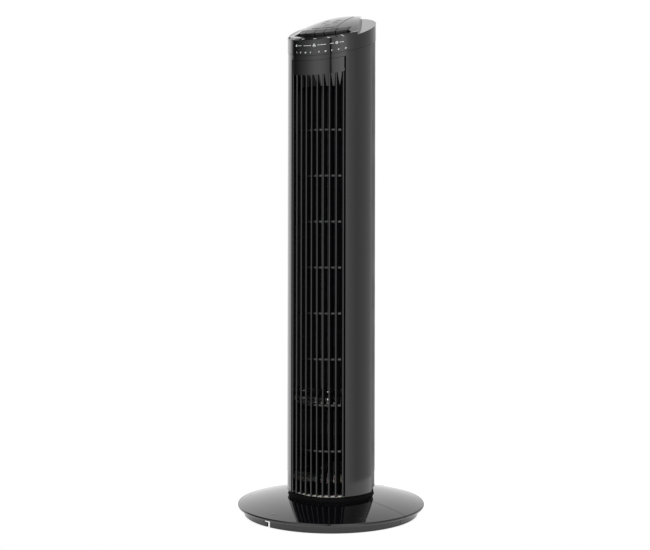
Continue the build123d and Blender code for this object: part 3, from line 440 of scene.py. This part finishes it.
# ---- Remote control
# A slim hand control in the deck's dock: two polished black ABS case halves, a cell tray, a nickel-plated
# coin cell with a brushed skin, and five round pads that stand just proud of the face.
wear(panel_abs, "remote_upper_case", "remote_lower_case")
tray_abs = moulded("abs_moulded_tray", "0f0f10", 0.4, 0.04, 10, 0.5, 0.01)
wear(tray_abs, "battery_tray")
cell_steel, tree, shader, place = new_finish("steel_nickel_plated_cell", "c9c8c4", 0.2, metallic=1.0)
brushed = add_node(tree, "ShaderNodeMapping", {"Vector": place, "Scale": (1.0, 0.05, 0.05)})
scratches = grain(tree, brushed.outputs["Vector"], 0.3)
tree.links.new(between(tree, scratches, 0.16, 0.3), shader.inputs["Roughness"])
raise_surface(tree, shader, scratches, 0.003)
wear(cell_steel, "coin_cell")

# Silicone pads: smooth and semi-gloss where fingers touch them, with a small grey symbol on each.
pad_silicone = moulded("silicone_pad_black", "101012", 0.2, 0.05, 6, 0.6, 0.006)
pad_names = sorted(name for name in nodes if name.startswith("remote_key_"))
wear(pad_silicone, *pad_names)
pad_centres = {}
for name in pad_names:
    low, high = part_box(name)
    middle = (Vector(low) + Vector(high)) / 2 - Vector((0, 0, deck_z))
    pad_centres[name] = (middle.x, middle.dot(deck_back))
line_w = 0.00045
arm = 0.0017
rim_in = 0.00125
pad_ink = moulded("ink_screen_printed_grey", "4c4e50", 0.5, 0.08, 1.5, 0.3, 0.004)


def bar(x0, y0, x1, y1):
    return strip((x0, y0), (x1, y1), line_w)


def power(x, y):
    return ring((x, y), arm, rim_in, 120, 420) + bar(x, y, x, y + 0.0018)


def cross(x, y):
    return bar(x - arm, y, x + arm, y) + bar(x, y - arm, x, y + arm)


def clock_face(x, y):
    return ring((x, y), arm, rim_in) + bar(x, y, x, y + 0.001)


def two_lines(x, y):
    return bar(x - arm, y + 0.0008, x + arm, y + 0.0008) + bar(x - arm, y - 0.0008, x + arm, y - 0.0008)


def open_ring(x, y):
    return ring((x, y), arm, 0.0009, 60, 300)


symbols = dict(zip(pad_names, (power, cross, clock_face, two_lines, open_ring)))
for name, (x, y) in pad_centres.items():
    on_pad = landing_on(surface_of(name))
    print_marks(f"{name}_symbol", name, symbols[name](x, y), on_pad, pad_ink)

# ---- Floor
# A round sheet of white paper that glows, so that its edge is lost in the backdrop. It is kept small so
# that the tower's panels reflect the studio rather than the floor.
sheet = bpy.data.meshes.new("paper_floor")
sheet_r = 0.32
corners = 96
turns = [math.tau * i / corners for i in range(corners)]
rim = [(sheet_r * math.cos(a), sheet_r * math.sin(a), 0) for a in turns]
sheet.from_pydata(rim, [], [tuple(range(corners))])
paper_floor = bpy.data.objects.new("paper_floor", sheet)
bpy.context.scene.collection.objects.link(paper_floor)
paper, tree, shader, place = new_finish("paper_seamless_white", "c8c8c8", 0.8)
shader.inputs["Emission Color"].default_value = (1, 1, 1, 1)
shader.inputs["Emission Strength"].default_value = 0.8
raise_surface(tree, shader, grain(tree, place, 2.0), 0.02)
sheet.materials.append(paper)

# ---- Studio light
# Large soft panels stand in a ring round the fan, with dark gaps between them. Each stop is a direction
# from the camera's side, in degrees towards the camera's right, and the light that comes from there. The
# camera sees the backdrop as plain white.
scene = bpy.context.scene
scene.view_settings.view_transform = "Standard"
camera_side = 22.7
panels = (
    (-180, 1.25), (-152, 1.5), (-141, 1.7), (-134, 1.55), (-127, 1.1), (-119, 0.12), (-110, 0.04),
    (-97, 0.19), (-87, 0.35), (-70, 0.7), (-56, 1.2), (-45, 1.6), (-34, 1.73), (-24, 1.6), (-13, 1.22),
    (-5.5, 0.95), (-4.6, 0.1), (-1.0, 0.1), (0.2, 1.35), (12, 1.8), (27, 2.28), (34, 2.1), (40, 1.55),
    (48, 1.15), (63, 0.85), (72, 0.76), (99, 0.85), (118, 0.88), (129, 1.0), (146, 0.8), (165, 1.1),
    (180, 1.25),
)
brightest = max(light for _, light in panels)
studio = bpy.data.worlds.new("studio")
scene.world = studio
studio.use_nodes = True
tree = studio.node_tree
direction = add_node(tree, "ShaderNodeTexCoord").outputs["Generated"]
turned = add_node(tree, "ShaderNodeVectorRotate", {
    "Vector": direction, "Angle": math.radians(-camera_side),
}, rotation_type="Z_AXIS")
part = add_node(tree, "ShaderNodeSeparateXYZ", {"Vector": turned.outputs["Vector"]})
towards = add_node(tree, "ShaderNodeMath", {0: part.outputs["Y"], 1: -1.0}, operation="MULTIPLY")
bearing = add_node(tree, "ShaderNodeMath", {
    0: part.outputs["X"], 1: towards.outputs[0],
}, operation="ARCTAN2")
share = add_node(tree, "ShaderNodeMapRange", {
    "Value": bearing.outputs[0], "From Min": -math.pi, "From Max": math.pi,
})
ramp = add_node(tree, "ShaderNodeValToRGB", {"Fac": share.outputs["Result"]})
stops = ramp.color_ramp.elements
stops[0].position = 0
stops[1].position = 1
for degrees, light in panels[1:-1]:
    stops.new((degrees + 180) / 360)
for stop, (degrees, light) in zip(stops, panels):
    stop.color = (light / brightest,) * 3 + (1,)
lit = add_node(tree, "ShaderNodeMath", {0: ramp.outputs["Color"], 1: brightest}, operation="MULTIPLY")
seen = add_node(tree, "ShaderNodeLightPath").outputs["Is Camera Ray"]
level = add_node(tree, "ShaderNodeMix", {"Factor": seen, "A": lit.outputs[0], "B": 1.0})
backdrop = tree.nodes["Background"]
backdrop.inputs["Color"].default_value = (1, 1, 1, 1)
tree.links.new(level.outputs[0], backdrop.inputs["Strength"])

# ---- Camera
# It stands 1.64 m off, level, at about the height of the tower's middle, with the lens shifted to frame
# the fan.
camera_data = bpy.data.cameras.new("camera")
camera = bpy.data.objects.new("camera", camera_data)
scene.collection.objects.link(camera)
azimuth = math.radians(camera_side)
distance = 1.6444
roll = math.radians(-0.11)
camera.location = (distance * math.sin(azimuth), -distance * math.cos(azimuth), 0.3968)
camera.rotation_euler = (math.pi / 2, roll, azimuth)
camera_data.lens = 60.59
camera_data.sensor_width = 36.0
camera_data.shift_x = -0.0099
camera_data.shift_y = -0.04195
scene.camera = camera
